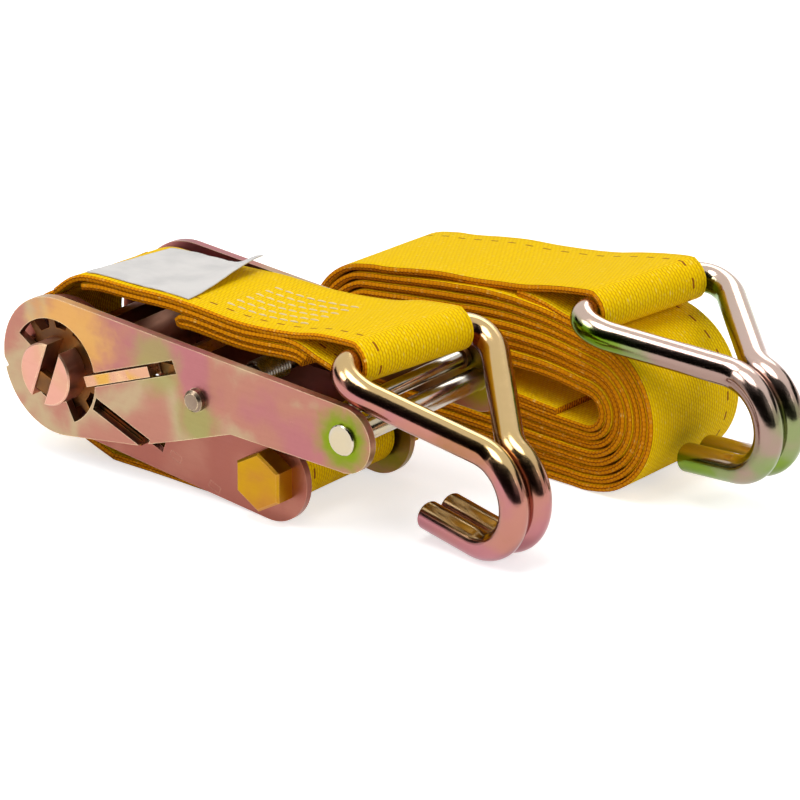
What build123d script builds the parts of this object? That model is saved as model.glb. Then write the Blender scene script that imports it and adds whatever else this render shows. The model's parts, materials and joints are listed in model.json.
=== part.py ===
"""Ratchet tie down for 50 mm webbing: a closed ratchet buckle on its short strap, and a rolled long strap.

Frame: millimetres, +X from the mandrel towards the handle grip, +Y across the buckle, +Z up.
The origin is on the mandrel axis, midway between the two frame plates.
"""
from math import asin, cos, degrees, radians, sin, sqrt
import os

from build123d import *

os.makedirs("parts", exist_ok=True)

# --- Webbing ---------------------------------------------------------------------------------------
webbing_width = 50.0
webbing_thickness = 2.4
soft_gap = 0.3  # webbing clear of steel that moves against it
loop_slack = 1.0  # sewn loop round a hook's bar, which has rounded corners

# --- Buckle, across its width ----------------------------------------------------------------------
mandrel_height = 34.0  # mandrel axis above the surface that the buckle lies on
frame_inner_width = 53.0
frame_plate_thickness = 2.5
wheel_thickness = 4.2
wheel_side_gap = 0.6
handle_plate_thickness = 3.0
mandrel_overhang = 5.0  # bar ends beyond the handle plates
running_clearance = 0.06  # radial, between a shaft and its hole
slide_clearance = 0.25  # on each side of a sliding pawl

# --- Frame, side view ------------------------------------------------------------------------------
frame_lobe_radius = 25.0
frame_leg_radius = 11.6  # of the leg's upper end, below the mandrel
bolt_reach = 93.0  # from the mandrel axis to the anchor bolt
bolt_end_radius = 16.3
tab_length = 5.0
base_thickness = 2.5

# --- Anchor bolt, M12 ------------------------------------------------------------------------------
bolt_diameter = 12.0
hex_across_flats = 19.0
bolt_head_height = 7.5
nut_height = 10.0
bolt_thread_end = 1.5  # beyond the nut
head_chamfer = 0.8
sleeve_wall = 2.0

# --- Handle, side view -----------------------------------------------------------------------------
handle_lobe_radius = 25.5
handle_lobe_centre = (1.5, 2.0)
grip_centre = (132.5, 9.0)
grip_end_radius = 12.0
handle_waist = (82.0, -2.4)  # where the lower edge starts to widen towards the mandrel
handle_knee = (60.0, -10.5)
handle_heel = (38.0, -18.2)
stop_notch_size = 3.0
stop_notch_drop = 5.0  # below the lobe's centre
stop_notch_turn = 35.0
sight_radius = 19.3  # of the opening that shows the ratchet wheel
sight_angles = (-62.0, 148.0)
grip_rod_diameter = 8.0
rivet_diameter = 11.0
rivet_height = 1.2
rivet_chamfer = 0.4
cross_pin_centre = (66.8, 6.5)
cross_pin_diameter = 8.0
cross_pin_waist = 7.0
cross_pin_overhang = 3.0
cross_pin_chamfer = 1.0

# --- Mandrel and ratchet wheels --------------------------------------------------------------------
mandrel_diameter = 23.0
mandrel_slot = 6.0
mandrel_lean = 20.0  # degrees that the slot leans towards the grip
mandrel_chamfer = 0.5
clip_length = 7.0
clip_thickness = 3.0
clip_offset = -4.0  # along the slot, from the axis
clip_stand_off = 1.0  # from the handle plate
tooth_count = 12
tooth_tip_radius = 20.0
tooth_root_radius = 14.8
tooth_tip_width = 1.8
tooth_base_width = 3.6
tooth_sink = 1.0  # of a tooth's foot, inside the root circle
tooth_gap_angle = -1.0  # degrees, the middle of the tooth gap that faces the drive pawl

# --- Pawls -----------------------------------------------------------------------------------------
drive_angle = 21.1  # degrees above +X, the way the drive pawl slides
drive_origin = (15.5, 0.1)
drive_thickness = 3.8
drive_ear_length = 32.0
drive_slot_width = 5.0
drive_tip_lift = 5.3  # the tip in the wheel's plane stands this far back from the ear's tip
drive_bridge_start = 28.0
drive_bridge_length = 6.0
drive_ear_overhang = 0.9
lock_angle = -20.3
lock_origin = (15.0, -9.5)
lock_thickness = 3.6
lock_tip = 3.4  # along the slide from lock_origin
lock_length = 21.0
pawl_engage = 3.0  # inward travel, from clear of the teeth into a gap
drive_lift = 2.5  # outward travel, until the release bar meets the stowed hook
slot_end_gap = 9.5  # beyond the drive pawl's outward travel
lock_lift = 6.0  # outward travel
ear_side_gap = 0.4  # between the lock pawl's ear and the handle plate
sight_slot_width = 5.0
sight_slot_length = 26.5
sight_slot_centre = (31.3, -12.1)

# --- Release linkage and springs -------------------------------------------------------------------
release_bar_centre = (126.5, 15.8)
release_bar_diameter = 6.0
link_height = 4.0
link_eye_wall = 1.0
link_thickness = 2.0
link_side_gap = 0.6  # between a link and the handle plate
link_pawl_gap = 0.1  # between a link and the drive pawl's bridge
spring_wire = 1.4
drive_spring_turns = 12
lock_spring_radius = 2.2
lock_spring_offset = 14.0
base_start = 34.0  # along the lock pawl's slide from lock_origin
base_length = 24.0

# --- Hooks: double-J of round wire -----------------------------------------------------------------
wire_diameter = 10.4
hook_half_width = 31.2  # from the middle of the bar to an arm's centre line
hook_corner_radius = 8.0
hook_shoulder = 12.6  # along the hook, where the arms start to close in
hook_neck = 53.0  # along the hook, where the arms run side by side
hook_shoulder_radius = 15.0
hook_neck_radius = 13.0
hook_shank = 57.2  # from the bar to the start of the curl
hook_curl_radius = 17.1
hook_curl_angle = 158.6
hook_tip_length = 24.6
wire_gap = 0.1  # between the two wires of the curl
tip_rounding = 1.2
hook_yaw = -8.0
hook_a_bar = (128.0, 1.0, 30.6)
hook_a_pitch = 27.2
hook_b_bar = (165.2, 83.8, 33.7)
hook_b_pitch = 14.1

# --- Short strap -----------------------------------------------------------------------------------
turn_radius = 25.3  # of the webbing's middle, round the mandrel
turn_exit = -110.0  # degrees, where the turn leaves the circle for the ground run
under_end_x = 75.0
anchor_join = -74.0  # degrees round the bolt, where the ground run meets the anchor loop
stack_bottom = 24.1
stack_start_x = 1.0
stack_profile = ((6.0, 29.9), (50.0, 33.2), (100.0, 35.2))  # top of the layers, x and z
stack_under = ((6.0, 24.1), (50.0, 23.0), (100.0, 26.4))  # underside of the layers, x and z
loop_length = 28.0
loop_opening_length = 19.0
loop_seam_radius = 0.6  # where a loop's two layers part

# --- Label -----------------------------------------------------------------------------------------
label_start_x = 7.0
label_length = 42.0
label_width = 47.0
label_thickness = 0.6

# --- Long strap ------------------------------------------------------------------------------------
roll_near_y = 60.0
roll_roundings = ((64.0, 29.5), (112.0, 31.5), (160.0, 29.5))  # x of the centre, and the radius
hollow_left = (128.0, 5.0)
hollow_right = (157.0, 7.0)
hollow_height = 31.0  # above the ground
roll_loop_length = 53.0
roll_loop_opening = 39.0
roll_loop_top = 1.0  # of its sewn end, above the hook's bar
roll_loop_bottom = -4.3

# --- Worked-out places -----------------------------------------------------------------------------
ground_z = -mandrel_height
bolt_z = ground_z + bolt_end_radius
frame_inner = frame_inner_width / 2
frame_outer = frame_inner + frame_plate_thickness
wheel_inner = frame_outer + wheel_side_gap
wheel_outer = wheel_inner + wheel_thickness
handle_inner = wheel_outer + wheel_side_gap
handle_outer = handle_inner + handle_plate_thickness
mandrel_end = handle_outer + mandrel_overhang
bolt_radius = bolt_diameter / 2
sleeve_radius = bolt_radius + running_clearance + sleeve_wall
mandrel_radius = mandrel_diameter / 2
wire_radius = wire_diameter / 2
hex_radius = hex_across_flats / sqrt(3)
sides = (("near", -1), ("far", 1))


def side_plane(y):
    """A plane across the buckle at y: its x is +X and its y is +Z, and its normal is -Y."""
    return Plane.XZ.offset(-y)


def leaning_plane(origin_xz, angle, y=0.0):
    """As side_plane, with its x turned up by angle, from origin_xz."""
    turned = (cos(radians(angle)), 0, sin(radians(angle)))
    return Plane(origin=(origin_xz[0], y, origin_xz[1]), x_dir=turned, z_dir=(0, -1, 0))


def save(builder, name):
    """Label a finished sub-part and write its STEP file."""
    builder.part.label = name
    export_step(builder.part, f"parts/{name}.step")


# --- Frame plates ----------------------------------------------------------------------------------
lock_slot_start = lock_tip - pawl_engage - slide_clearance
lock_slot_end = lock_tip + lock_length + lock_lift + slide_clearance
tab_stations = (base_start + tab_length / 2, base_start + base_length - tab_length / 2)

for side, sign in sides:
    with BuildPart() as frame_plate:
        with BuildSketch(side_plane(sign * frame_inner)):
            with BuildSketch(mode=Mode.PRIVATE) as frame_leg:
                with Locations((0, frame_leg_radius - frame_lobe_radius)):
                    Circle(frame_leg_radius)
                with Locations((bolt_reach, bolt_z)):
                    Circle(bolt_end_radius)
                make_hull()
            add(frame_leg.sketch)
            Circle(frame_lobe_radius)
            Circle(mandrel_radius + running_clearance, mode=Mode.SUBTRACT)
            with Locations((bolt_reach, bolt_z)):
                Circle(bolt_radius + running_clearance, mode=Mode.SUBTRACT)
        extrude(amount=-sign * frame_plate_thickness)
        with BuildSketch(leaning_plane(lock_origin, lock_angle, sign * frame_inner)):
            with Locations(((lock_slot_start + lock_slot_end) / 2, 0)):
                Rectangle(lock_slot_end - lock_slot_start, lock_thickness + 2 * slide_clearance)
            with Locations(*[(station, 0) for station in tab_stations]):
                Rectangle(tab_length + 2 * running_clearance, base_thickness + 2 * running_clearance)
        extrude(amount=-sign * frame_plate_thickness, mode=Mode.SUBTRACT)
    save(frame_plate, f"frame_plate_{side}")

# --- Frame base: the web between the plates, with two tabs in each ---------------------------------
with BuildPart() as frame_base:
    with BuildSketch(leaning_plane(lock_origin, lock_angle)):
        with Locations((base_start + base_length / 2, 0)):
            Rectangle(base_length, base_thickness)
    extrude(amount=frame_inner, both=True)
    with BuildSketch(leaning_plane(lock_origin, lock_angle)):
        with Locations(*[(station, 0) for station in tab_stations]):
            Rectangle(tab_length, base_thickness)
    extrude(amount=frame_outer, both=True)
save(frame_base, "frame_base")

# --- Anchor bolt, nut and sleeve -------------------------------------------------------------------
with BuildPart() as anchor_bolt:
    with BuildSketch(side_plane(-frame_outer)):
        with Locations((bolt_reach, bolt_z)):
            RegularPolygon(hex_radius, 6, rotation=30)
    extrude(amount=bolt_head_height)
    chamfer(anchor_bolt.faces().sort_by(Axis.Y)[0].edges(), length=head_chamfer)
    with BuildSketch(side_plane(-frame_outer)):
        with Locations((bolt_reach, bolt_z)):
            Circle(bolt_radius)
    extrude(amount=-(2 * frame_outer + nut_height + bolt_thread_end))
save(anchor_bolt, "anchor_bolt")

with BuildPart() as anchor_nut:
    with BuildSketch(side_plane(frame_outer)):
        with Locations((bolt_reach, bolt_z)):
            RegularPolygon(hex_radius, 6, rotation=30)
            Circle(bolt_radius + running_clearance, mode=Mode.SUBTRACT)
    extrude(amount=-nut_height)
save(anchor_nut, "anchor_nut")

with BuildPart() as anchor_sleeve:
    with BuildSketch(Plane.XZ):
        with Locations((bolt_reach, bolt_z)):
            Circle(sleeve_radius)
            Circle(bolt_radius + running_clearance, mode=Mode.SUBTRACT)
    extrude(amount=frame_inner - running_clearance, both=True)
save(anchor_sleeve, "anchor_sleeve")

# --- Mandrel: two half-moon bars, a wheel at each end of the frame, and the end clips --------------
for name, half in (("mandrel_bar_front", 1), ("mandrel_bar_rear", -1)):
    with BuildPart() as mandrel_bar:
        with BuildSketch(leaning_plane((0, 0), -mandrel_lean)):
            Circle(mandrel_radius)
            with Locations((-half * (mandrel_radius - mandrel_slot / 2), 0)):
                Rectangle(mandrel_diameter, mandrel_diameter, mode=Mode.SUBTRACT)
        extrude(amount=mandrel_end, both=True)
        chamfer(mandrel_bar.faces().filter_by(Axis.Y).edges(), length=mandrel_chamfer)
    save(mandrel_bar, name)

for side, sign in sides:
    with BuildPart() as ratchet_wheel:
        with BuildSketch(leaning_plane((0, 0), tooth_gap_angle + 180 / tooth_count, sign * wheel_inner)):
            Circle(tooth_root_radius)
            with BuildSketch(mode=Mode.PRIVATE) as tooth:
                with BuildLine():
                    Polyline(
                        (tooth_root_radius - tooth_sink, -tooth_base_width / 2),
                        (tooth_tip_radius, -tooth_tip_width / 2),
                        (tooth_tip_radius, tooth_tip_width / 2),
                        (tooth_root_radius - tooth_sink, tooth_base_width / 2),
                        close=True,
                    )
                make_face()
            with PolarLocations(0, tooth_count):
                add(tooth.sketch)
        extrude(amount=-sign * wheel_thickness)
        with BuildSketch(leaning_plane((0, 0), -mandrel_lean, sign * wheel_inner)):
            Circle(mandrel_radius + running_clearance)
            Rectangle(mandrel_slot - 2 * running_clearance, mandrel_diameter * 2, mode=Mode.SUBTRACT)
        extrude(amount=-sign * wheel_thickness, mode=Mode.SUBTRACT)
    save(ratchet_wheel, f"ratchet_wheel_{side}")

    with BuildPart() as mandrel_clip:
        with BuildSketch(leaning_plane((0, 0), -mandrel_lean, sign * (handle_outer + clip_stand_off))):
            with Locations((0, clip_offset)):
                Rectangle(mandrel_slot - 2 * running_clearance, clip_length)
        extrude(amount=-sign * clip_thickness)
    save(mandrel_clip, f"mandrel_clip_{side}")

# --- Handle plates ---------------------------------------------------------------------------------
stop_notch_x = handle_lobe_centre[0] - handle_lobe_radius
drive_slot_end = drive_ear_length + drive_lift + slot_end_gap
for side, sign in sides:
    with BuildPart() as handle_plate:
        with BuildSketch(side_plane(sign * handle_inner)):
            with Locations(handle_lobe_centre):
                Circle(handle_lobe_radius)
            with Locations(grip_centre):
                Circle(grip_end_radius)
            make_hull()
            with BuildLine():
                Polyline(
                    handle_heel,
                    handle_knee,
                    handle_waist,
                    (grip_centre[0], grip_centre[1] - grip_end_radius),
                    (grip_centre[0], 2 * ground_z),
                    (handle_heel[0], 2 * ground_z),
                    close=True,
                )
            make_face(mode=Mode.SUBTRACT)
            with Locations((stop_notch_x, handle_lobe_centre[1] - stop_notch_drop)):
                Rectangle(stop_notch_size, stop_notch_size, rotation=stop_notch_turn, mode=Mode.SUBTRACT)
            Circle(mandrel_radius + running_clearance, mode=Mode.SUBTRACT)
            with BuildLine():
                sight = CenterArc((0, 0), sight_radius, sight_angles[0], sight_angles[1] - sight_angles[0])
                Line((0, 0), sight @ 0)
                Line(sight @ 1, (0, 0))
            make_face(mode=Mode.SUBTRACT)
            with Locations(sight_slot_centre):
                Rectangle(sight_slot_length, sight_slot_width, rotation=lock_angle, mode=Mode.SUBTRACT)
            with Locations(cross_pin_centre):
                Circle(cross_pin_diameter / 2 + running_clearance, mode=Mode.SUBTRACT)
            with Locations(grip_centre):
                Circle(grip_rod_diameter / 2 + running_clearance, mode=Mode.SUBTRACT)
        extrude(amount=-sign * handle_plate_thickness)
        with BuildSketch(leaning_plane(drive_origin, drive_angle, sign * handle_inner)):
            with Locations(((drive_slot_end - pawl_engage) / 2, 0)):
                Rectangle(drive_slot_end + pawl_engage, drive_slot_width)
        extrude(amount=-sign * handle_plate_thickness, mode=Mode.SUBTRACT)
    save(handle_plate, f"handle_plate_{side}")

with BuildPart() as grip_rod:
    with BuildSketch(Plane.XZ):
        with Locations(grip_centre):
            Circle(grip_rod_diameter / 2)
    extrude(amount=handle_outer + rivet_height, both=True)
    for side, sign in sides:
        with BuildSketch(side_plane(sign * handle_outer)):
            with Locations(grip_centre):
                Circle(rivet_diameter / 2)
        extrude(amount=-sign * rivet_height)
    chamfer(grip_rod.faces().filter_by(Axis.Y).group_by(Axis.Y)[0].edges(), length=rivet_chamfer)
    chamfer(grip_rod.faces().filter_by(Axis.Y).group_by(Axis.Y)[-1].edges(), length=rivet_chamfer)
save(grip_rod, "grip_rod")

with BuildPart() as cross_pin:
    with BuildSketch(Plane.XZ):
        with Locations(cross_pin_centre):
            Circle(cross_pin_waist / 2)
    extrude(amount=handle_inner, both=True)
    for side, sign in sides:
        with BuildSketch(side_plane(sign * handle_inner)):
            with Locations(cross_pin_centre):
                Circle(cross_pin_diameter / 2)
        extrude(amount=-sign * (handle_plate_thickness + cross_pin_overhang))
    chamfer(cross_pin.faces().filter_by(Axis.Y).group_by(Axis.Y)[0].edges(), length=cross_pin_chamfer)
    chamfer(cross_pin.faces().filter_by(Axis.Y).group_by(Axis.Y)[-1].edges(), length=cross_pin_chamfer)
save(cross_pin, "cross_pin")

# --- Drive pawl: ears in the handle slots, a step into the wheels' plane, and a bridge --------------
drive_step_end = drive_bridge_start + drive_bridge_length
with BuildPart() as drive_pawl:
    for side, sign in sides:
        with BuildSketch(leaning_plane(drive_origin, drive_angle, sign * handle_inner)):
            with Locations((drive_ear_length / 2, 0)):
                Rectangle(drive_ear_length, drive_thickness)
        extrude(amount=-sign * (handle_plate_thickness + drive_ear_overhang))
        with BuildSketch(leaning_plane(drive_origin, drive_angle, sign * wheel_inner)):
            with Locations(((drive_tip_lift + drive_step_end) / 2, 0)):
                Rectangle(drive_step_end - drive_tip_lift, drive_thickness)
        extrude(amount=-sign * (handle_inner - wheel_inner))
    with BuildSketch(leaning_plane(drive_origin, drive_angle)):
        with Locations((drive_bridge_start + drive_bridge_length / 2, 0)):
            Rectangle(drive_bridge_length, drive_thickness)
    extrude(amount=wheel_inner, both=True)
save(drive_pawl, "drive_pawl")

# --- Release bar and its two links to the drive pawl -----------------------------------------------
link_outer = handle_inner - link_side_gap
link_reach = drive_step_end + link_pawl_gap
link_start = (
    drive_origin[0] + link_reach * cos(radians(drive_angle)),
    drive_origin[1] + link_reach * sin(radians(drive_angle)),
)
link_run = (Vector(*release_bar_centre) - Vector(*link_start)).length
link_angle = degrees(asin((release_bar_centre[1] - link_start[1]) / link_run))

with BuildPart() as release_bar:
    with BuildSketch(Plane.XZ):
        with Locations(release_bar_centre):
            Circle(release_bar_diameter / 2)
    extrude(amount=link_outer, both=True)
save(release_bar, "release_bar")

for side, sign in sides:
    with BuildPart() as release_link:
        with BuildSketch(leaning_plane(link_start, link_angle, sign * link_outer)):
            with Locations((link_run / 2, 0)):
                Rectangle(link_run, link_height)
            with Locations((link_run, 0)):
                Circle(release_bar_diameter / 2 + link_eye_wall)
                Circle(release_bar_diameter / 2 + running_clearance, mode=Mode.SUBTRACT)
        extrude(amount=sign * link_thickness)
        split(bisect_by=Plane(origin=(link_start[0], 0, link_start[1]),
                              z_dir=(cos(radians(drive_angle)), 0, sin(radians(drive_angle)))),
              keep=Keep.TOP)
    save(release_link, f"release_link_{side}")

# --- Drive pawl spring: a close-wound coil on the cross pin with a leg on the pawl ------------------
coil_inner = cross_pin_waist / 2 + running_clearance
coil_width = drive_spring_turns * spring_wire
leg_y = (coil_width - spring_wire) / 2
leg_reach = drive_step_end + soft_gap + spring_wire / 2
leg_start = Vector(
    drive_origin[0] + leg_reach * cos(radians(drive_angle)),
    leg_y,
    drive_origin[1] + leg_reach * sin(radians(drive_angle)),
)
coil_centre = Vector(cross_pin_centre[0], leg_y, cross_pin_centre[1])
leg_end = coil_centre + (leg_start - coil_centre).normalized() * (coil_inner + spring_wire / 2)
with BuildPart() as drive_pawl_spring:
    with BuildSketch(Plane.XZ):
        with Locations(cross_pin_centre):
            Circle(coil_inner + spring_wire)
            Circle(coil_inner, mode=Mode.SUBTRACT)
    extrude(amount=coil_width / 2, both=True)
    with BuildSketch(Plane(origin=leg_start, z_dir=leg_end - leg_start)):
        Circle(spring_wire / 2)
    extrude(amount=(leg_end - leg_start).length)
save(drive_pawl_spring, "drive_pawl_spring")

# --- Lock pawl and its two springs -----------------------------------------------------------------
lock_ear_end = handle_inner - ear_side_gap
with BuildPart() as lock_pawl:
    with BuildSketch(leaning_plane(lock_origin, lock_angle)):
        with Locations((lock_tip + lock_length / 2, 0)):
            Rectangle(lock_length, lock_thickness)
    extrude(amount=lock_ear_end, both=True)
save(lock_pawl, "lock_pawl")

lock_spring_start = lock_tip + lock_length
lock_spring_length = base_start - lock_spring_start
spring_axis = Vector(cos(radians(lock_angle)), 0, sin(radians(lock_angle)))
with BuildPart() as lock_pawl_springs:
    for sign in (-1, 1):
        start = Vector(lock_origin[0], sign * lock_spring_offset, lock_origin[1])
        start += spring_axis * lock_spring_start
        with BuildSketch(Plane(origin=start, z_dir=spring_axis)):
            Circle(lock_spring_radius)
            Circle(lock_spring_radius - spring_wire / 2, mode=Mode.SUBTRACT)
        extrude(amount=lock_spring_length)
save(lock_pawl_springs, "lock_pawl_springs")

# --- Short strap: anchor loop and ground run -------------------------------------------------------
anchor_loop_radius = sleeve_radius + webbing_thickness / 2 + running_clearance
run_z = ground_z + webbing_thickness / 2
turn_leave = (turn_radius * cos(radians(turn_exit)), turn_radius * sin(radians(turn_exit)))
descent = (turn_leave[1] - run_z) / sin(radians(90 + turn_exit))
run_start_x = turn_leave[0] - descent * cos(radians(90 + turn_exit))
with BuildPart() as strap_under:
    with BuildSketch(Plane.XZ):
        with BuildLine():
            Polyline(
                (run_start_x, run_z),
                (under_end_x, run_z),
                (bolt_reach + anchor_loop_radius * cos(radians(anchor_join)),
                 bolt_z + anchor_loop_radius * sin(radians(anchor_join))),
            )
        trace(line_width=webbing_thickness)
        with Locations((bolt_reach, bolt_z)):
            Circle(anchor_loop_radius + webbing_thickness / 2)
            Circle(anchor_loop_radius - webbing_thickness / 2, mode=Mode.SUBTRACT)
    extrude(amount=webbing_width / 2, both=True)
save(strap_under, "short_strap_under")

# --- Short strap: the turn round the mandrel -------------------------------------------------------
with BuildPart() as strap_turn:
    with BuildSketch(Plane.XZ):
        with BuildLine():
            round_mandrel = CenterArc((0, 0), turn_radius, 90, 160)
            Line(round_mandrel @ 1, (run_start_x, run_z))
        trace(line_width=webbing_thickness)
    extrude(amount=webbing_width / 2, both=True)
    split(bisect_by=Plane(origin=(run_start_x, 0, 0), z_dir=(1, 0, 0)), keep=Keep.BOTTOM)
    split(bisect_by=Plane(origin=(0, 0, ground_z), z_dir=(0, 0, 1)), keep=Keep.TOP)
save(strap_turn, "short_strap_turn")

# --- Hook axes -------------------------------------------------------------------------------------
pull = Vector(cos(radians(hook_yaw)), sin(radians(hook_yaw)), 0)
across = Vector(-sin(radians(hook_yaw)), cos(radians(hook_yaw)), 0)


def loop_sketch(length, top, bottom, opening):
    """The side of a sewn loop: round the hook's bar, and open as far back as opening."""
    outer = wire_radius + loop_slack + webbing_thickness
    with BuildSketch(mode=Mode.PRIVATE) as body:
        with BuildLine():
            Polyline((-length, bottom), (-length, top), (-opening, top), (-opening, bottom), close=True)
        make_face()
        Circle(outer)
        make_hull()
    with BuildSketch(mode=Mode.PRIVATE) as hole:
        Circle(wire_radius + loop_slack)
        with Locations((-opening, (top + bottom) / 2)):
            Circle(loop_seam_radius)
        make_hull()
    return body.sketch - hole.sketch


# --- Short strap: layered top run ------------------------------------------------------------------
hook_a_point = Vector(*hook_a_bar)
stack_join = Plane(origin=hook_a_point - pull * loop_length, z_dir=pull)
with BuildPart() as strap_top:
    with BuildSketch(Plane.XZ):
        with BuildLine():
            Polyline(
                (stack_start_x, stack_bottom),
                (stack_start_x, stack_bottom + webbing_thickness),
                *stack_profile,
                (hook_a_bar[0], stack_profile[-1][1]),
                (hook_a_bar[0], stack_under[-1][1]),
                *reversed(stack_under),
                close=True,
            )
        make_face()
    extrude(amount=webbing_width / 2, both=True)
    split(bisect_by=stack_join, keep=Keep.BOTTOM)
save(strap_top, "short_strap_top")

with BuildPart() as strap_loop:
    with BuildSketch(Plane(origin=hook_a_point, x_dir=pull, z_dir=-across)):
        add(loop_sketch(loop_length, stack_profile[-1][1] - hook_a_bar[2],
                        stack_under[-1][1] - hook_a_bar[2], loop_opening_length))
    extrude(amount=webbing_width / 2, both=True)
save(strap_loop, "short_strap_loop")

# --- Label, laid along the slope of the top run ----------------------------------------------------
label_slope = (stack_profile[1][1] - stack_profile[0][1]) / (stack_profile[1][0] - stack_profile[0][0])
label_z = stack_profile[0][1] + label_slope * (label_start_x - stack_profile[0][0])
with BuildPart() as label:
    with BuildSketch(leaning_plane((label_start_x, label_z), degrees(asin(label_slope)))):
        Rectangle(label_length, label_thickness, align=(Align.MIN, Align.MIN))
    extrude(amount=label_width / 2, both=True)
save(label, "label")

# --- Hooks -----------------------------------------------------------------------------------------
wire_offset = wire_radius + wire_gap / 2
with BuildPart() as hook_half:
    with BuildLine() as arm:
        FilletPolyline(
            (0, 0, 0),
            (0, hook_half_width, 0),
            (hook_shoulder, hook_half_width, 0),
            (hook_neck, wire_offset, 0),
            (hook_shank, wire_offset, 0),
            radius=[hook_corner_radius, hook_shoulder_radius, hook_neck_radius],
        )
    with BuildLine(Plane(origin=(0, wire_offset, 0), x_dir=(1, 0, 0), z_dir=(0, -1, 0))) as curl:
        bend = JernArc((hook_shank, 0), (1, 0), hook_curl_radius, -hook_curl_angle)
        PolarLine(bend @ 1, hook_tip_length, direction=bend % 1)
    with BuildSketch(Plane(origin=(0, 0, 0), z_dir=(0, 1, 0))):
        Circle(wire_radius)
    sweep(path=Wire(arm.edges() + curl.edges()))
    tip_face = hook_half.faces().filter_by(GeomType.PLANE).filter_by(Axis.Y, reverse=True)
    fillet(tip_face.edges(), radius=tip_rounding)

for name, bar, pitch in (("hook_a", hook_a_bar, hook_a_pitch), ("hook_b", hook_b_bar, hook_b_pitch)):
    with BuildPart() as hook:
        with Locations(Location(bar, (0, 0, hook_yaw)) * Location((0, 0, 0), (0, pitch, 0))):
            add(hook_half.part)
            add(mirror(hook_half.part, about=Plane.XZ, mode=Mode.PRIVATE))
    save(hook, name)

# --- Long strap: the roll and its sewn end loop ----------------------------------------------------
roll_middle = roll_near_y + webbing_width / 2
with BuildPart() as long_strap_roll:
    with BuildSketch(side_plane(roll_middle)):
        for centre_x, radius in roll_roundings:
            with Locations((centre_x, ground_z + radius)):
                Circle(radius)
        make_hull()
        with BuildSketch(mode=Mode.PRIVATE) as hollow:
            for centre_x, radius in (hollow_left, hollow_right):
                with Locations((centre_x, ground_z + hollow_height)):
                    Circle(radius)
            make_hull()
        add(hollow.sketch, mode=Mode.SUBTRACT)
    extrude(amount=webbing_width / 2, both=True)
save(long_strap_roll, "long_strap_roll")

hook_b_point = Vector(*hook_b_bar)
with BuildPart() as long_strap_loop:
    with BuildSketch(Plane(origin=hook_b_point, x_dir=pull, z_dir=-across)):
        add(loop_sketch(roll_loop_length, roll_loop_top, roll_loop_bottom, roll_loop_opening))
    extrude(amount=webbing_width / 2, both=True)
save(long_strap_loop, "long_strap_loop")
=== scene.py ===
"""Looks of the ratchet tie down: woven webbing, iridescent zinc plating and a plain pale studio.

Metres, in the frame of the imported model: the origin is on the mandrel's axis, midway between the frame
plates, +X runs towards the handle's grip, +Y along the mandrel and +Z up.
"""
import json
from math import acos, atan2, cos, degrees, pi, radians, sin

import bpy
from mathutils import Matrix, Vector, noise


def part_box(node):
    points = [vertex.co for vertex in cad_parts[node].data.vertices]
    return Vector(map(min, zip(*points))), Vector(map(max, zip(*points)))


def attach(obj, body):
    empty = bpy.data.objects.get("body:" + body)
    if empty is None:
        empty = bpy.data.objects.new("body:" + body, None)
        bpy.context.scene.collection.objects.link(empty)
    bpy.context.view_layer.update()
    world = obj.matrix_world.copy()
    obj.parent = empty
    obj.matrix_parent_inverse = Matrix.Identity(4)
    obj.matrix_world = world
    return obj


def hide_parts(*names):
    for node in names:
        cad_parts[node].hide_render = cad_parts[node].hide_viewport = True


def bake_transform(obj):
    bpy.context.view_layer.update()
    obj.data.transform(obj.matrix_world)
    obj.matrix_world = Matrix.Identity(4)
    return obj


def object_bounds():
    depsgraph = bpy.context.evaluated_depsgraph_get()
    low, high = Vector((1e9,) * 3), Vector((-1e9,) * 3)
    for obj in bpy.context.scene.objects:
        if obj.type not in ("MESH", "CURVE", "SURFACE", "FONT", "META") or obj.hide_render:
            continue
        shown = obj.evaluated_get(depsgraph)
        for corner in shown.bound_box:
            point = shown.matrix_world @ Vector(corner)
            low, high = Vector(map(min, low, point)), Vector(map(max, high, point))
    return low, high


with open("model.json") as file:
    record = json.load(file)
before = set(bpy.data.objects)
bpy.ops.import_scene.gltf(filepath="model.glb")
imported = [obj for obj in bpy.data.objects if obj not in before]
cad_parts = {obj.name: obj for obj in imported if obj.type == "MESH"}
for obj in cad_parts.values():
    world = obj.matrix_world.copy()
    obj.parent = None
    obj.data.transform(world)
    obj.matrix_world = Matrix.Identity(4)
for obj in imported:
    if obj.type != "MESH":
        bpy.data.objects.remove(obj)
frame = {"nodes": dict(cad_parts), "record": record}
cad_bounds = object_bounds()

MM = 0.001

# --- Places read from the frame ---------------------------------------------------------------------
ground = cad_bounds[0][2]
joints = {joint["name"]: joint for joint in frame["record"]["behaviour"]["joints"]}
bar_a = Vector(joints["hook_a_swing"]["pos_m"])
bar_b = Vector(joints["hook_b_swing"]["pos_m"])
hook_axis = joints["hook_a_swing"]["axis"]
hook_yaw = degrees(atan2(hook_axis[0], -hook_axis[1]))


def middle(node):
    """Centre of a CAD node's box."""
    low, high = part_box(node)
    return (low + high) / 2


bolt = middle("anchor_sleeve")
nut = middle("anchor_nut")
sleeve_low, sleeve_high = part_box("anchor_sleeve")
sleeve_radius = (sleeve_high.z - sleeve_low.z) / 2
grip = middle("grip_rod")
cross_pin = middle("cross_pin")
roll_low, roll_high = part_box("long_strap_roll")

# --- Webbing sizes -----------------------------------------------------------------------------------
web_width = 50 * MM
web_thickness = 2.4 * MM
wire_radius = 5.2 * MM
loop_clearance = 0.3 * MM  # between a loop and the hook's bar in it
strap_step = 1.5 * MM  # between cross-sections
loop_radius = wire_radius + loop_clearance + web_thickness / 2
turn_radius = 25.3 * MM  # of the short strap round the mandrel


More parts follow.
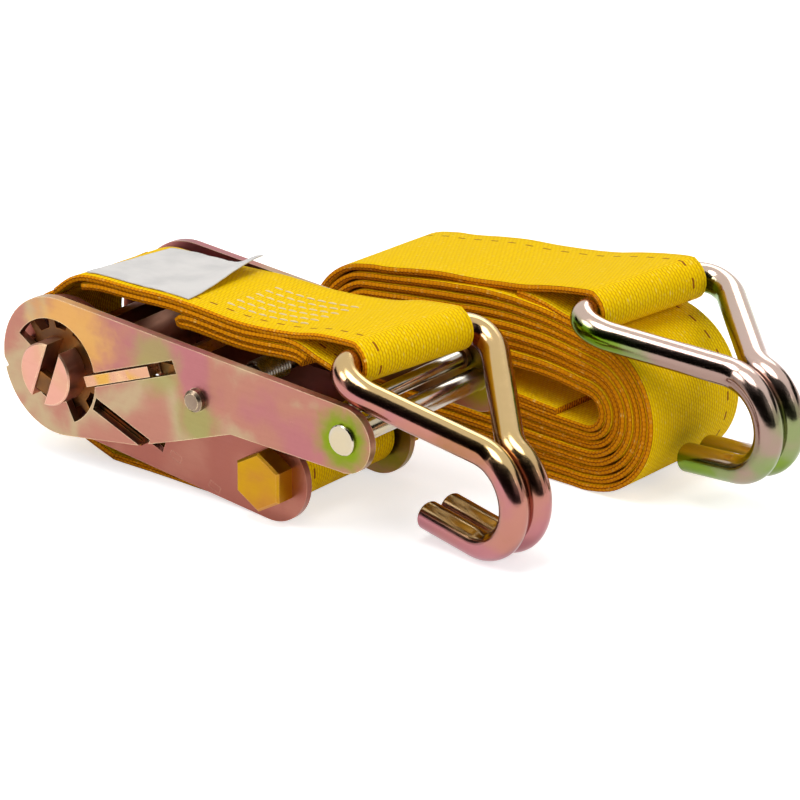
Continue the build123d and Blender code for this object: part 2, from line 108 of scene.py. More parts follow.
# === Shader helpers ==================================================================================
def tint(red, green, blue):
    """A linear colour from screen values of 0 to 255."""
    linear = [((c / 255 + 0.055) / 1.055) ** 2.4 if c > 10 else c / 255 / 12.92 for c in (red, green, blue)]
    return (*linear, 1.0)


class Shader:
    """A material with short calls that add and link nodes."""

    def __init__(self, name, roughness=0.5, metallic=0.0):
        self.material = bpy.data.materials.new(name)
        self.material.use_nodes = True
        self.tree = self.material.node_tree
        self.surface = self.tree.nodes["Principled BSDF"]
        self.surface.inputs["Roughness"].default_value = roughness
        self.surface.inputs["Metallic"].default_value = metallic

    def node(self, kind, inputs=None, **settings):
        """A node whose inputs are values or other nodes' outputs."""
        made = self.tree.nodes.new(kind)
        for key, value in settings.items():
            setattr(made, key, value)
        for key, value in (inputs or {}).items():
            if isinstance(value, bpy.types.NodeSocket):
                self.tree.links.new(value, made.inputs[key])
            else:
                made.inputs[key].default_value = value
        return made

    def calc(self, operation, a, b=0.0, c=0.0):
        """One Math node."""
        return self.node("ShaderNodeMath", {0: a, 1: b, 2: c}, operation=operation).outputs[0]

    def mix(self, factor, a, b):
        """Colour a where the factor is 0, and b where it is 1."""
        return self.node("ShaderNodeMix", {0: factor, 6: a, 7: b}, data_type="RGBA").outputs[2]

    def ramp(self, factor, stops):
        """Colours at places from 0 to 1 along a value."""
        made = self.node("ShaderNodeValToRGB", {0: factor})
        made.color_ramp.interpolation = "EASE"
        elements = made.color_ramp.elements
        while len(elements) < len(stops):
            elements.new(0.5)
        for element, (place, colour) in zip(elements, stops):
            element.position = place
            element.color = colour
        return made.outputs[0]

    def band(self, value, low, high, at_low=0.0, at_high=1.0):
        """Value rescaled smoothly from low..high, and held at both ends."""
        made = self.node("ShaderNodeMapRange", {0: value, 1: low, 2: high, 3: at_low, 4: at_high})
        made.interpolation_type = "SMOOTHSTEP"
        return made.outputs[0]

    def noise(self, where, scale, detail=3.0, distortion=0.0):
        inputs = {"Vector": where, "Scale": scale, "Detail": detail, "Distortion": distortion}
        return self.node("ShaderNodeTexNoise", inputs).outputs[0]

    def place(self, kind="Object"):
        """Where a point is on its own object, or which way it faces there."""
        return self.node("ShaderNodeTexCoord").outputs[kind]

    def along_and_across(self):
        """A sheet's two flat coordinates, in metres."""
        return self.node("ShaderNodeSeparateXYZ", {0: self.node("ShaderNodeUVMap").outputs[0]}).outputs[:2]

    def stretched(self, where, scale):
        return self.node("ShaderNodeMapping", {"Vector": where, "Scale": scale}).outputs[0]

    def bump(self, height, distance, strength=1.0):
        made = self.node("ShaderNodeBump", {"Height": height, "Distance": distance, "Strength": strength})
        self.link(made.outputs[0], "Normal")

    def link(self, output, socket):
        """Feed one of the surface's inputs."""
        self.tree.links.new(output, self.surface.inputs[socket])


# === Materials =======================================================================================
PINK = tint(168, 114, 98)
MAUVE = tint(166, 104, 106)
GOLD = tint(200, 152, 72)
OLIVE = tint(146, 140, 84)
SILVER = tint(172, 148, 116)
LIME = tint(114, 138, 8)
CREAM = tint(232, 210, 170)
AMBER = tint(150, 92, 36)


def zinc(name, stops, roughness=0.3, scale=24.0, patches=(), scratch=0.5, edge_wear_and_highlight=CREAM, painted_top_highlight=None):
    """Yellow zinc plating: a thin film whose colour drifts over the steel, with its edges painted paler, partly as
    rubbed wear and partly as a painted edge highlight.

    The stops are the film's colours, the patches are (centre, radius, colour, strength), and the top colour is
    painted on the faces that turn up, as a painted highlight of the lamp overhead.
    """
    s = Shader(name, roughness, 1.0)
    where = s.place()
    drift = s.noise(where, scale, 1.5, 0.6)
    fine = s.noise(where, scale * 7, 3.0, 0.4)
    film = s.calc("MULTIPLY_ADD", s.calc("SUBTRACT", fine, 0.5), 0.10, drift)
    colour = s.ramp(s.band(film, 0.28, 0.72), stops)
    for centre, radius, patch_tint, strength in patches:
        distance = s.node("ShaderNodeVectorMath", {0: where, 1: centre}, operation="DISTANCE").outputs["Value"]
        ragged = s.calc("MULTIPLY_ADD", s.calc("SUBTRACT", fine, 0.5), radius * 0.6, distance)
        colour = s.mix(s.band(ragged, radius * 0.35, radius, strength, 0.0), colour, patch_tint)
    # Faces that turn up are mixed towards the top colour: a painted highlight of the lamp overhead.
    if painted_top_highlight:
        upward = s.node("ShaderNodeSeparateXYZ", {0: s.place("Normal")}).outputs[2]
        colour = s.mix(s.band(upward, 0.35, 0.8, 0.0, 0.9), colour, painted_top_highlight)
    # Edges that the bevel finds are painted paler and broken up by noise: partly wear, partly a painted edge
    # highlight.
    edge_band_width = 0.5 * MM
    bevel = s.node("ShaderNodeBevel", {"Radius": edge_band_width}, samples=4).outputs[0]
    flat = s.node("ShaderNodeNewGeometry").outputs["Normal"]
    turned = s.node("ShaderNodeVectorMath", {0: bevel, 1: flat}, operation="DOT_PRODUCT").outputs["Value"]
    edge = s.calc("MULTIPLY", s.band(turned, 0.999, 0.93), s.band(fine, 0.35, 0.6, 0.35, 0.8))
    s.link(s.mix(edge, colour, edge_wear_and_highlight), "Base Color")
    brushed = s.noise(s.stretched(where, (60, 60, 1400)), 1.0, 3.0)
    grain = s.noise(where, 900.0, 2.0)
    s.link(s.band(s.calc("ADD", s.calc("MULTIPLY", brushed, 0.6), s.calc("MULTIPLY", grain, 0.4)),
                  0.25, 0.75, roughness * 0.8, roughness * 1.3), "Roughness")
    scratch_depth = 0.02 * MM
    s.bump(s.calc("MULTIPLY_ADD", brushed, scratch, grain), scratch_depth, 0.5)
    return s.material


def woven(name, painted_crest_highlight, body, painted_groove_shade, edge=False):
    """Polyester webbing: ribs along its length, picks across them, and a dashed marker thread near one edge."""
    s = Shader(name, 0.72)
    s.surface.inputs["Specular IOR Level"].default_value = 0.06
    along, across = s.along_and_across()
    rib_width, pick_length, weave_depth = 1.3 * MM, 1.7 * MM, 0.22 * MM
    ribs = s.calc("ABSOLUTE", s.calc("SINE", s.calc("MULTIPLY", across, pi / rib_width)))
    shift = s.calc("MULTIPLY", s.calc("FLOOR", s.calc("DIVIDE", across, rib_width)), pi)
    picks = s.calc("SINE", s.calc("ADD", s.calc("MULTIPLY", along, 2 * pi / pick_length), shift))
    weave = s.calc("MULTIPLY_ADD", picks, 0.22, s.calc("MULTIPLY", ribs, 0.78))
    threads = s.noise(s.stretched(s.node("ShaderNodeUVMap").outputs[0], (300, 2600, 1)), 1.0, 3.0)
    height = s.calc("MULTIPLY_ADD", s.calc("SUBTRACT", threads, 0.5), 0.5, weave)
    # Colour follows the weave's height: painted shade in the grooves and a painted highlight on the rib tops, around
    # the body's yellow.
    colour = s.ramp(s.band(height, -0.1, 0.95), ((0.0, painted_groove_shade), (0.5, body), (1.0, painted_crest_highlight)))
    patches = s.noise(s.place(), 38.0, 3.0)
    colour = s.mix(s.band(patches, 0.35, 0.75, 0.0, 0.35), colour, body)
    # Pale specks over the weave: painted glints of light on its fibres.
    painted_glints = s.noise(s.stretched(s.node("ShaderNodeUVMap").outputs[0], (420, 1100, 1)), 1.0, 2.0)
    colour = s.mix(s.band(painted_glints, 0.6, 0.78, 0.0, 0.45), colour, tint(255, 236, 140))
    if not edge:
        marker_offset, marker_pitch, marker_inner, marker_outer = 18.2 * MM, 7.6 * MM, 0.35 * MM, 0.6 * MM
        beside = s.calc("ABSOLUTE", s.calc("ADD", across, marker_offset))
        dash = s.calc("FRACT", s.calc("DIVIDE", along, marker_pitch))
        marker = s.calc("MULTIPLY", s.band(beside, marker_inner, marker_outer, 1.0, 0.0),
                        s.band(dash, 0.42, 0.46, 1.0, 0.0))
        colour = s.mix(s.calc("MULTIPLY", marker, 0.85), colour, tint(140, 52, 22))
    s.link(colour, "Base Color")
    s.bump(height, weave_depth, 0.8)
    return s.material


def thread(name, colour):
    """Twisted sewing thread."""
    s = Shader(name, 0.6)
    twist = s.node("ShaderNodeTexWave", {"Vector": s.place(), "Scale": 900.0, "Distortion": 2.0}).outputs[1]
    s.link(s.mix(s.band(twist, 0.2, 0.8, 0.0, 0.35), colour, tint(120, 84, 40)), "Base Color")
    s.bump(twist, 0.05 * MM)
    return s.material


def label_cloth(name):
    """Bare off-white label tape: a close plain weave with a faint crease."""
    s = Shader(name, 0.6)
    thread_pitch = 0.5 * MM
    lines = [s.calc("SINE", s.calc("MULTIPLY", way, 2 * pi / thread_pitch)) for way in s.along_and_across()]
    weave = s.calc("MULTIPLY", lines[0], lines[1])
    soft = s.noise(s.place(), 60.0, 3.0)
    colour = s.mix(s.band(soft, 0.35, 0.7), tint(214, 210, 206), tint(196, 193, 190))
    s.link(s.mix(s.band(weave, -1.0, 1.0, 0.0, 0.12), colour, tint(190, 188, 186)), "Base Color")
    s.bump(s.calc("MULTIPLY_ADD", weave, 0.3, s.calc("MULTIPLY", soft, 4.0)), 0.08 * MM)
    return s.material


# Where the plating's patches are, on the handle's and the frame's outer faces.
grip_near = Vector((grip.x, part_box("handle_plate_near")[0].y, grip.z))
grip_far = Vector((grip.x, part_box("handle_plate_far")[1].y, grip.z))
lobe_near = Vector((8 * MM, grip_near.y, 16 * MM))
pin_near = Vector((cross_pin.x, grip_near.y, cross_pin.z - 9 * MM))
upper_near = Vector((48 * MM, grip_near.y, 15 * MM))
far_end = Vector((nut.x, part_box("frame_plate_far")[0].y, nut.z))
lime_rim = ((grip_near, 15 * MM, LIME, 0.95), (grip_far, 15 * MM, tint(160, 150, 24), 0.95))

handle_plating = zinc(
    "handle_plating", ((0.0, PINK), (0.4, SILVER), (0.7, PINK), (1.0, MAUVE)), 0.34,
    patches=((lobe_near, 24 * MM, tint(202, 152, 84), 0.9), (upper_near, 15 * MM, OLIVE, 0.75),
             (pin_near, 13 * MM, OLIVE, 0.9), *lime_rim))
frame_plating = zinc(
    "frame_plating", ((0.0, tint(160, 106, 90)), (0.5, tint(148, 88, 76)), (1.0, tint(154, 96, 92))), 0.34, 18.0,
    patches=((far_end, 26 * MM, tint(112, 104, 8), 0.95),), edge_wear_and_highlight=tint(180, 128, 108))
bolt_plating = zinc(
    "bolt_plating", ((0.0, tint(184, 146, 8)), (0.5, tint(182, 138, 12)), (1.0, tint(172, 112, 46))), 0.36, 26.0,
    scratch=0.1, edge_wear_and_highlight=GOLD)
pin_plating = zinc("pin_plating", ((0.0, tint(130, 110, 94)), (1.0, tint(152, 136, 116))), 0.3, 60.0)
bar_plating = zinc(
    "bar_plating", ((0.0, tint(206, 150, 132)), (0.5, tint(202, 150, 126)), (1.0, tint(200, 164, 130))), 0.34, 40.0)
pawl_plating = zinc("pawl_plating", ((0.0, tint(212, 170, 128)), (0.6, tint(200, 150, 120)), (1.0, GOLD)), 0.3, 60.0)
# Painted shade: the parts that take this plating get a dark brown in place of their plating's colour, as they lie in
# shadow between the plates.
recess_shade_plating = zinc(
    "recess_shade_plating", ((0.0, tint(96, 66, 44)), (0.6, tint(128, 84, 40)), (1.0, tint(90, 80, 50))), 0.4, 60.0,
    edge_wear_and_highlight=AMBER)
rod_steel = zinc(
    "rod_steel", ((0.0, tint(196, 190, 180)), (0.6, tint(182, 174, 160)), (1.0, tint(188, 174, 146))), 0.18, 70.0,
    edge_wear_and_highlight=tint(206, 200, 190))
spring_steel = zinc("spring_steel", ((0.0, tint(150, 146, 138)), (1.0, tint(176, 170, 160))), 0.3, 90.0)
# Both hooks' top colours are painted highlights of the lamp overhead.
hook_a_plating = zinc(
    "hook_a_plating",
    ((0.0, tint(160, 102, 114)), (0.5, tint(164, 106, 110)), (0.8, tint(168, 114, 100)), (1.0, tint(148, 104, 62))),
    0.16, 20.0, scratch=0.1, edge_wear_and_highlight=tint(190, 150, 110), painted_top_highlight=tint(206, 178, 124))
hook_b_plating = zinc(
    "hook_b_plating",
    ((0.0, tint(150, 124, 114)), (0.35, tint(126, 136, 90)), (0.65, tint(108, 132, 46)), (1.0, tint(92, 126, 14))),
    0.16, 20.0, scratch=0.1, edge_wear_and_highlight=tint(170, 160, 110), painted_top_highlight=tint(206, 180, 168))

# The first and last colours are the painted highlight on the rib tops and the painted shade in the grooves.
webbing = woven("webbing", tint(248, 210, 6), tint(240, 194, 0), tint(206, 150, 0))
# The strip's side faces and ends take a darker orange copy of the webbing: painted shade on the same yellow yarn.
webbing_edge_shaded = woven("webbing_edge_shaded", tint(226, 148, 4), tint(202, 120, 2), tint(116, 48, 2), edge=True)
cream_thread = thread("cream_thread", tint(246, 232, 186))
label_tape = label_cloth("label_tape")

for material, nodes in (
    (handle_plating, ("handle_plate_near", "handle_plate_far")),
    (frame_plating, ("frame_plate_near", "frame_plate_far", "frame_base")),
    (bolt_plating, ("anchor_bolt", "anchor_nut")),
    (rod_steel, ("anchor_sleeve", "release_bar", "grip_rod")),
    (bar_plating, ("mandrel_bar_front", "mandrel_bar_rear")),
    (pawl_plating, ("drive_pawl",)),
    (pin_plating, ("cross_pin",)),
    (recess_shade_plating, ("mandrel_clip_near", "mandrel_clip_far", "ratchet_wheel_near", "ratchet_wheel_far", "lock_pawl",
                    "release_link_near", "release_link_far")),
    (hook_a_plating, ("hook_a",)),
    (hook_b_plating, ("hook_b",)),
):
    for node in nodes:
        slots = frame["nodes"][node].data.materials
        slots.clear()
        slots.append(material)


# === Webbing as a strip ==============================================================================
def smooth_step(value, low, high):
    """0 up to low, 1 from high on, and smooth between them."""
    share = min(max((value - low) / (high - low), 0.0), 1.0)
    return share * share * (3 - 2 * share)


def through(points, step=strap_step):
    """Points at even steps along a smooth curve through the given points, all of one dimension."""
    ends = [[2 * a - b for a, b in zip(points[0], points[1])], *points]
    ends.append([2 * a - b for a, b in zip(points[-1], points[-2])])
    dense = []
    for p0, p1, p2, p3 in zip(ends, ends[1:], ends[2:], ends[3:]):
        for i in range(12):
            t = i / 12
            dense.append([0.5 * (2 * b + (c - a) * t + (2 * a - 5 * b + 4 * c - d) * t * t
                                 + (3 * b - a - 3 * c + d) * t ** 3) for a, b, c, d in zip(p0, p1, p2, p3)])
    dense.append(list(points[-1]))
    return evenly(dense, step)


def evenly(dense, step):
    """The same line with its points at even steps, measured in its first three values."""
    lengths = [0.0]
    for a, b in zip(dense, dense[1:]):
        lengths.append(lengths[-1] + (Vector(b[:3]) - Vector(a[:3])).length)
    count = max(2, round(lengths[-1] / step))
    placed = []
    i = 0
    for k in range(count + 1):
        target = lengths[-1] * k / count
        while i < len(lengths) - 2 and lengths[i + 1] < target:
            i += 1
        share = (target - lengths[i]) / max(lengths[i + 1] - lengths[i], 1e-9)
        placed.append([a + (b - a) * share for a, b in zip(dense[i], dense[i + 1])])
    return placed


class Strip:
    """A run of webbing: cross-sections along a line, each with its heading in plan and the fall of its far edge."""

    def __init__(self, points):
        self.points = [Vector(p[:3]) for p in points]
        self.across = []
        for *_, heading, fall in points:
            yaw, tilt = radians(heading), radians(fall)
            self.across.append(Vector((-sin(yaw) * cos(tilt), cos(yaw) * cos(tilt), -sin(tilt))))
        self.lengths = [0.0]
        for a, b in zip(self.points, self.points[1:]):
            self.lengths.append(self.lengths[-1] + (b - a).length)
        self.normals = []
        for i, across in enumerate(self.across):
            ahead = self.points[min(i + 1, len(self.points) - 1)] - self.points[max(i - 1, 0)]
            self.normals.append(ahead.normalized().cross(across).normalized())

    @property
    def length(self):
        return self.lengths[-1]

    def at(self, distance, offset, lift):
        """A point on the strip, that far along, across and off its middle surface."""
        i = next((k for k, s in enumerate(self.lengths[1:]) if s >= distance), len(self.lengths) - 2)
        share = (distance - self.lengths[i]) / (self.lengths[i + 1] - self.lengths[i])
        centre = self.points[i].lerp(self.points[i + 1], share)
        return centre + self.across[i] * offset + self.normals[i] * lift


def outline(width, thickness, columns=14):
    """A strip's cross-section as (across, off the middle, is it the edge)."""
    half, t = width / 2, thickness / 2
    inset, chamfer = 0.5 * MM, 0.1 * MM
    top = [(-half + inset + (width - 2 * inset) * j / columns, t, False) for j in range(columns + 1)]
    far = [(half - chamfer, 0.62 * t, True), (half, 0.0, True), (half - chamfer, -0.62 * t, True)]
    bottom = [(-v, -n, flag) for v, n, flag in top]
    near = [(-v, -n, flag) for v, n, flag in far]
    return top + far + bottom + near


def ribbon(name, strip, body, nodes=(), wave=0.25 * MM, seed=0.0, flip=1):
    """A closed mesh of one strip of webbing, with its length in U and its width in V.

    The wave is how far its faces ripple, and flip=-1 puts the marker thread at its other edge.
    """
    section = outline(web_width, web_thickness)
    rows = len(section)
    verts = []
    for point, across, normal, along in zip(strip.points, strip.across, strip.normals, strip.lengths):
        for v, n, _ in section:
            ripple = wave * noise.noise(Vector((along * 32 + seed, v * 45, seed)))
            verts.append(point + across * v + normal * (n + ripple))
    faces = []
    uvs = []
    marks = []
    for i in range(len(strip.points) - 1):
        for j in range(rows):
            k = (j + 1) % rows
            faces.append((i * rows + j, i * rows + k, (i + 1) * rows + k, (i + 1) * rows + j))
            vj, vk = [flip * (section[q][0] + (section[q][1] if section[q][2] else 0)) for q in (j, k)]
            uvs.extend(((strip.lengths[i], vj), (strip.lengths[i], vk), (strip.lengths[i + 1], vk),
                        (strip.lengths[i + 1], vj)))
            marks.append(section[j][2] or section[k][2])
    last = (len(strip.points) - 1) * rows
    for cap in (tuple(reversed(range(rows))), tuple(last + j for j in range(rows))):
        faces.append(cap)
        uvs.extend((section[j % rows][1], section[j % rows][0]) for j in cap)
        marks.append(True)
    return soft_piece(name, verts, faces, uvs, marks, body, nodes, (webbing, webbing_edge_shaded))


def soft_piece(name, verts, faces, uvs, marks, body, nodes, materials):
    """A mesh object that stands for CAD nodes. It rides on a body, unless that is None.

    The marks say which of its materials each face takes.
    """
    mesh = bpy.data.meshes.new(name)
    mesh.from_pydata(verts, [], faces)
    for material in materials:
        mesh.materials.append(material)
    layer = mesh.uv_layers.new(name="UVMap")
    for loop, uv in zip(layer.data, uvs):
        loop.uv = uv
    for polygon, mark in zip(mesh.polygons, marks):
        polygon.material_index = int(mark)
        polygon.use_smooth = True
    mesh.update()
    piece = bpy.data.objects.new(name, mesh)
    bpy.context.scene.collection.objects.link(piece)
    if nodes:
        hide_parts(*nodes)
    if body:
        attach(piece, body)
    return piece


def tube_faces(base, rings, sides):
    """Quads between a tube's rings of vertices, and a cap at each end."""
    faces = []
    for r in range(rings - 1):
        for q in range(sides):
            k = (q + 1) % sides
            faces.append((base + r * sides + q, base + r * sides + k,
                          base + (r + 1) * sides + k, base + (r + 1) * sides + q))
    faces.append(tuple(base + q for q in reversed(range(sides))))
    faces.append(tuple(base + (rings - 1) * sides + q for q in range(sides)))
    return faces


def plain_piece(name, verts, faces, body, nodes, material):
    """A piece of one material that needs no flat coordinates."""
    uvs = [(0.0, 0.0)] * sum(len(f) for f in faces)
    return soft_piece(name, verts, faces, uvs, [False] * len(faces), body, nodes, (material,))


def stitches(name, strip, rows, start, end, body, material, sides=8):
    """Short raised threads in rows along a strip's top."""
    reach, pitch, radius, bulge = 3.6 * MM, 4.7 * MM, 0.33 * MM, 0.15 * MM
    rings = ((-0.5, 0.25), (-0.36, 0.85), (0.0, 1.0), (0.36, 0.85), (0.5, 0.25))
    verts, faces = [], []
    for row in rows:
        for i in range(int((end - start) / pitch)):
            centre = start + (i + 0.5) * pitch
            faces += tube_faces(len(verts), len(rings), sides)
            for share, swell in rings:
                rise = bulge * (1 - (2 * share) ** 2)
                for q in range(sides):
                    turn = 2 * pi * q / sides
                    verts.append(strip.at(centre + share * reach, row + radius * swell * cos(turn),
                                          web_thickness / 2 + rise + radius * swell * sin(turn)))
    return plain_piece(name, verts, faces, body, (), material)


# === Springs =========================================================================================
def coil(centre, axis, radius, length, turns_wound, start_angle=0.0, steps=18):
    """Points of a helix round the axis, from the centre on, with that many steps to a turn."""
    axis = axis.normalized()
    across = axis.orthogonal().normalized() if abs(axis.y) < 0.9 else Vector((1, 0, 0))
    other = axis.cross(across)
    count = int(turns_wound * steps)
    angles = [start_angle + 2 * pi * turns_wound * i / count for i in range(count + 1)]
    return [centre + axis * length * i / count + radius * (across * cos(a) + other * sin(a))
            for i, a in enumerate(angles)]


def wires(name, routes, axis, radius, node, sides=8):
    """Round spring wires along routes that turn about one axis, in place of a CAD node."""
    verts, faces = [], []
    for route in routes:
        faces += tube_faces(len(verts), len(route), sides)
        for i, centre in enumerate(route):
            ahead = (route[min(i + 1, len(route) - 1)] - route[max(i - 1, 0)]).normalized()
            side = ahead.cross(axis).normalized()
            rise = side.cross(ahead)
            verts += [centre + radius * (side * cos(2 * pi * q / sides) + rise * sin(2 * pi * q / sides))
                      for q in range(sides)]
    return plain_piece(name, verts, faces, None, (node,), spring_steel)


# Drive pawl spring: a close-wound coil on the cross pin, whose leg presses on the pawl.
spring_low, spring_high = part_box("drive_pawl_spring")
drive_wire = 0.7 * MM  # radius
drive_turns = 12
mandrel_way = Vector((0, 1, 0))
coil_radius = spring_high.x - cross_pin.x - drive_wire
leg_tip = Vector((48.2 * MM, spring_high.y - drive_wire, 12.7 * MM))
to_tip = leg_tip - Vector((cross_pin.x, leg_tip.y, cross_pin.z))
leg_angle = atan2(-to_tip.z, to_tip.x) + acos(coil_radius / to_tip.length)
coil_start = Vector((cross_pin.x, spring_low.y + drive_wire, cross_pin.z))
coil_length = leg_tip.y - coil_start.y
drive_route = coil(coil_start, mandrel_way, coil_radius, coil_length, drive_turns - 1, leg_angle)
leg_root = drive_route[-1]
drive_route += [leg_root.lerp(leg_tip, share) for share in (0.25, 0.5, 0.75, 1.0)]
drive_spring = wires("drive_pawl_coil", [drive_route], mandrel_way, drive_wire, "drive_pawl_spring")
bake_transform(drive_spring)

# Lock pawl springs: two open coils between the pawl's tail and the frame's web.
spring_low, spring_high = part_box("lock_pawl_springs")
lock_axis = Vector(joints["lock_pawl_slide"]["axis"])
lock_outer, lock_wire = 2.2 * MM, 0.35 * MM  # radii of the coil outside and of its wire
lock_turns = 7
tail = Vector((spring_low.x - lock_axis.z * lock_outer, 0, spring_high.z - lock_axis.x * lock_outer))
stop = Vector((spring_high.x + lock_axis.z * lock_outer, 0, spring_low.z + lock_axis.x * lock_outer))
lock_length = (stop - tail).length - 2 * lock_wire
lock_routes = [coil(tail + lock_axis * lock_wire + Vector((0, side * (spring_high.y - lock_outer), 0)), lock_axis,
                    lock_outer - lock_wire, lock_length, lock_turns) for side in (-1, 1)]
lock_springs = wires("lock_pawl_coils", lock_routes, lock_axis, lock_wire, "lock_pawl_springs")
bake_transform(lock_springs)


# === Short strap =====================================================================================
def in_plan(x, z, yaw=0.0, y=0.0, tilt=0.0):
    """A cross-section's centre in millimetres, its heading, and how far it tilts down at its far edge, in degrees."""
    return (x * MM, y * MM, z * MM, yaw, tilt)


# Ground run, from the turn's end to the bolt and round its sleeve, in millimetres.
ground_middle = ground / MM + 1.5
wrap = (sleeve_radius + web_thickness / 2) / MM + 0.15
mandrel_wrap = turn_radius / MM
bolt_x, bolt_z = bolt.x / MM, bolt.z / MM
run_points = [in_plan(16.0, ground_middle), in_plan(40.0, ground_middle), in_plan(66.0, ground_middle),
              in_plan(82.0, ground_middle + 1.2)]
run_points += [in_plan(bolt_x + wrap * cos(radians(a)), bolt_z + wrap * sin(radians(a)))
               for a in range(-60, 215, 15)]
ground_run = Strip(through(run_points))
ground_piece = ribbon("short_strap_ground_run", ground_run, "frame", ("short_strap_under",), seed=3.0)

# Turn round the mandrel end of the buckle, from the ground run to the top run.
turn_points = [in_plan(16.0, ground_middle), in_plan(8.0, -29.9), in_plan(0.0, -27.0)]
turn_points += [in_plan(mandrel_wrap * cos(radians(a)), mandrel_wrap * sin(radians(a)))
                for a in range(250, 114, -15)]
mandrel_turn = Strip(through(turn_points))
turn_piece = ribbon("short_strap_mandrel_turn", mandrel_turn, None, ("short_strap_turn",), seed=5.0)
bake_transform(turn_piece)


def around_bar(bar, yaw, angles):
    """Cross-sections of a loop round a hook's bar, at angles from the way the hook points."""
    pull = Vector((cos(radians(yaw)), sin(radians(yaw)), 0))
    placed = [bar + loop_radius * (pull * cos(radians(a)) + Vector((0, 0, 1)) * sin(radians(a))) for a in angles]
    return [(*p, yaw, 0.0) for p in placed]


# Top run: from the turn along the top, over the hook's bar and back under itself.
leave_angle = radians(115)
# Each row is x, the height of the top layer's middle, heading, shift in y and tilt.
top_shape_a = ((-4.0, 27.3, 0, 0, 3.4), (2.0, 29.5, 0, 0, 4.6), (11.0, 30.2, 0, 0, 5.4), (26.0, 30.4, 0, 0, 5.8),
               (40.0, 31.2, 0, 0, 5.6), (54.0, 31.5, 0, 0.2, 4.4), (76.0, 30.5, -1, 1.2, 3.0),
               (98.0, 32.2, -4, 2.4, 2.6), (112.0, 35.2, -7, 2.4, 1.2))


def layer_below(x, drop):
    """A cross-section that many millimetres under the top layer, at one of the table's places."""
    height, *lie = next(row[1:] for row in top_shape_a if row[0] == x)
    return in_plan(x, height - drop, *lie)


top_points = [in_plan(mandrel_wrap * cos(leave_angle), mandrel_wrap * sin(leave_angle), 0, 0, 1.0)]
top_points += [in_plan(*row) for row in top_shape_a]
top_points += around_bar(bar_a, hook_yaw, range(90, -91, -20))
top_points += [in_plan(112.0, 26.6, -7, 2.4, 1.0)]
top_points += [layer_below(x, drop) for x, drop in
               ((98.0, 3.0), (76.0, 2.6), (54.0, 2.6), (40.0, 2.6), (26.0, 2.6), (11.0, 2.7), (2.0, 3.2))]
top_run = Strip(through(top_points))
top_piece = ribbon("short_strap_top_run", top_run, "handle", ("short_strap_top", "short_strap_loop"), seed=8.0)

# Spare webbing folded under the top run.
fold_points = [in_plan(106.0, 25.2, -6, 2.4, 2.0)]
fold_points += [layer_below(x, drop) for x, drop in ((98.0, 5.7), (76.0, 5.2), (54.0, 5.2))]
fold_points += [in_plan(x, z, 0, 0.2, 4.6) for x, z in ((48.0, 25.9), (46.3, 24.6), (48.0, 23.3))]
fold_points += [layer_below(x, drop) for x, drop in ((54.0, 7.8), (76.0, 7.8), (98.0, 8.3))]
fold_points += [in_plan(104.0, 23.2, -6, 2.4, 2.0)]
under_fold = Strip(through(fold_points))
fold_piece = ribbon("short_strap_under_fold", under_fold, "handle", seed=11.0)

# The sewn block of the hook's loop: rows across the strap, from one length along it to another.
seam_rows = [v * MM for v in (-14, -9, -4, 1, 6, 11)]
seam_start, seam_end = 72 * MM, 112 * MM
seam_a = stitches("short_strap_seam", top_run, seam_rows, seam_start, seam_end, "handle", cream_thread)


# === Label ===========================================================================================
label_thickness = 0.35 * MM
label_rise = 0.45 * MM  # of its middle surface over the strap
label_curl = 5.0 * MM  # of its free corner
label_bulge = 0.6 * MM
label_crease = 0.3 * MM
label_pull = 0.3  # how far the curl draws the corner back, for each unit that it lifts it
upper_sections = 60  # cross-sections of the top run that are sure to be on its upper layer
label_corners = ((2.0, -21.8), (50.3, -22.6), (45.5, 24.0), (3.0, 21.5))


def on_top(strip, x, y, last):
    """A point on a strip's upper face over x and y, looked for among its first cross-sections."""
    best = min(range(last), key=lambda i: abs(strip.points[i].x - x))
    fall = -strip.across[best].z * (y - strip.points[best].y)
    return strip.points[best].z + web_thickness / 2 - fall + label_rise


def label_point(u, v):
    """A point of the label's middle surface, for u along the strap and v across it, each from 0 to 1."""
    shares = ((1 - u) * (1 - v), u * (1 - v), u * v, (1 - u) * v)
    x, y = [sum(share * corner[i] for share, corner in zip(shares, label_corners)) * MM for i in (0, 1)]
    curl = smooth_step(u, 0.55, 1.0) ** 2
    lift = label_curl * curl * smooth_step(v, 0.0, 1.0) + label_bulge * sin(pi * u) * smooth_step(v, 0.3, 1.0)
    crease = label_crease * noise.noise(Vector((u * 5, v * 6, 2.0)))
    return Vector((x - label_pull * lift * u, y, on_top(top_run, x, y, upper_sections) + lift + abs(crease)))


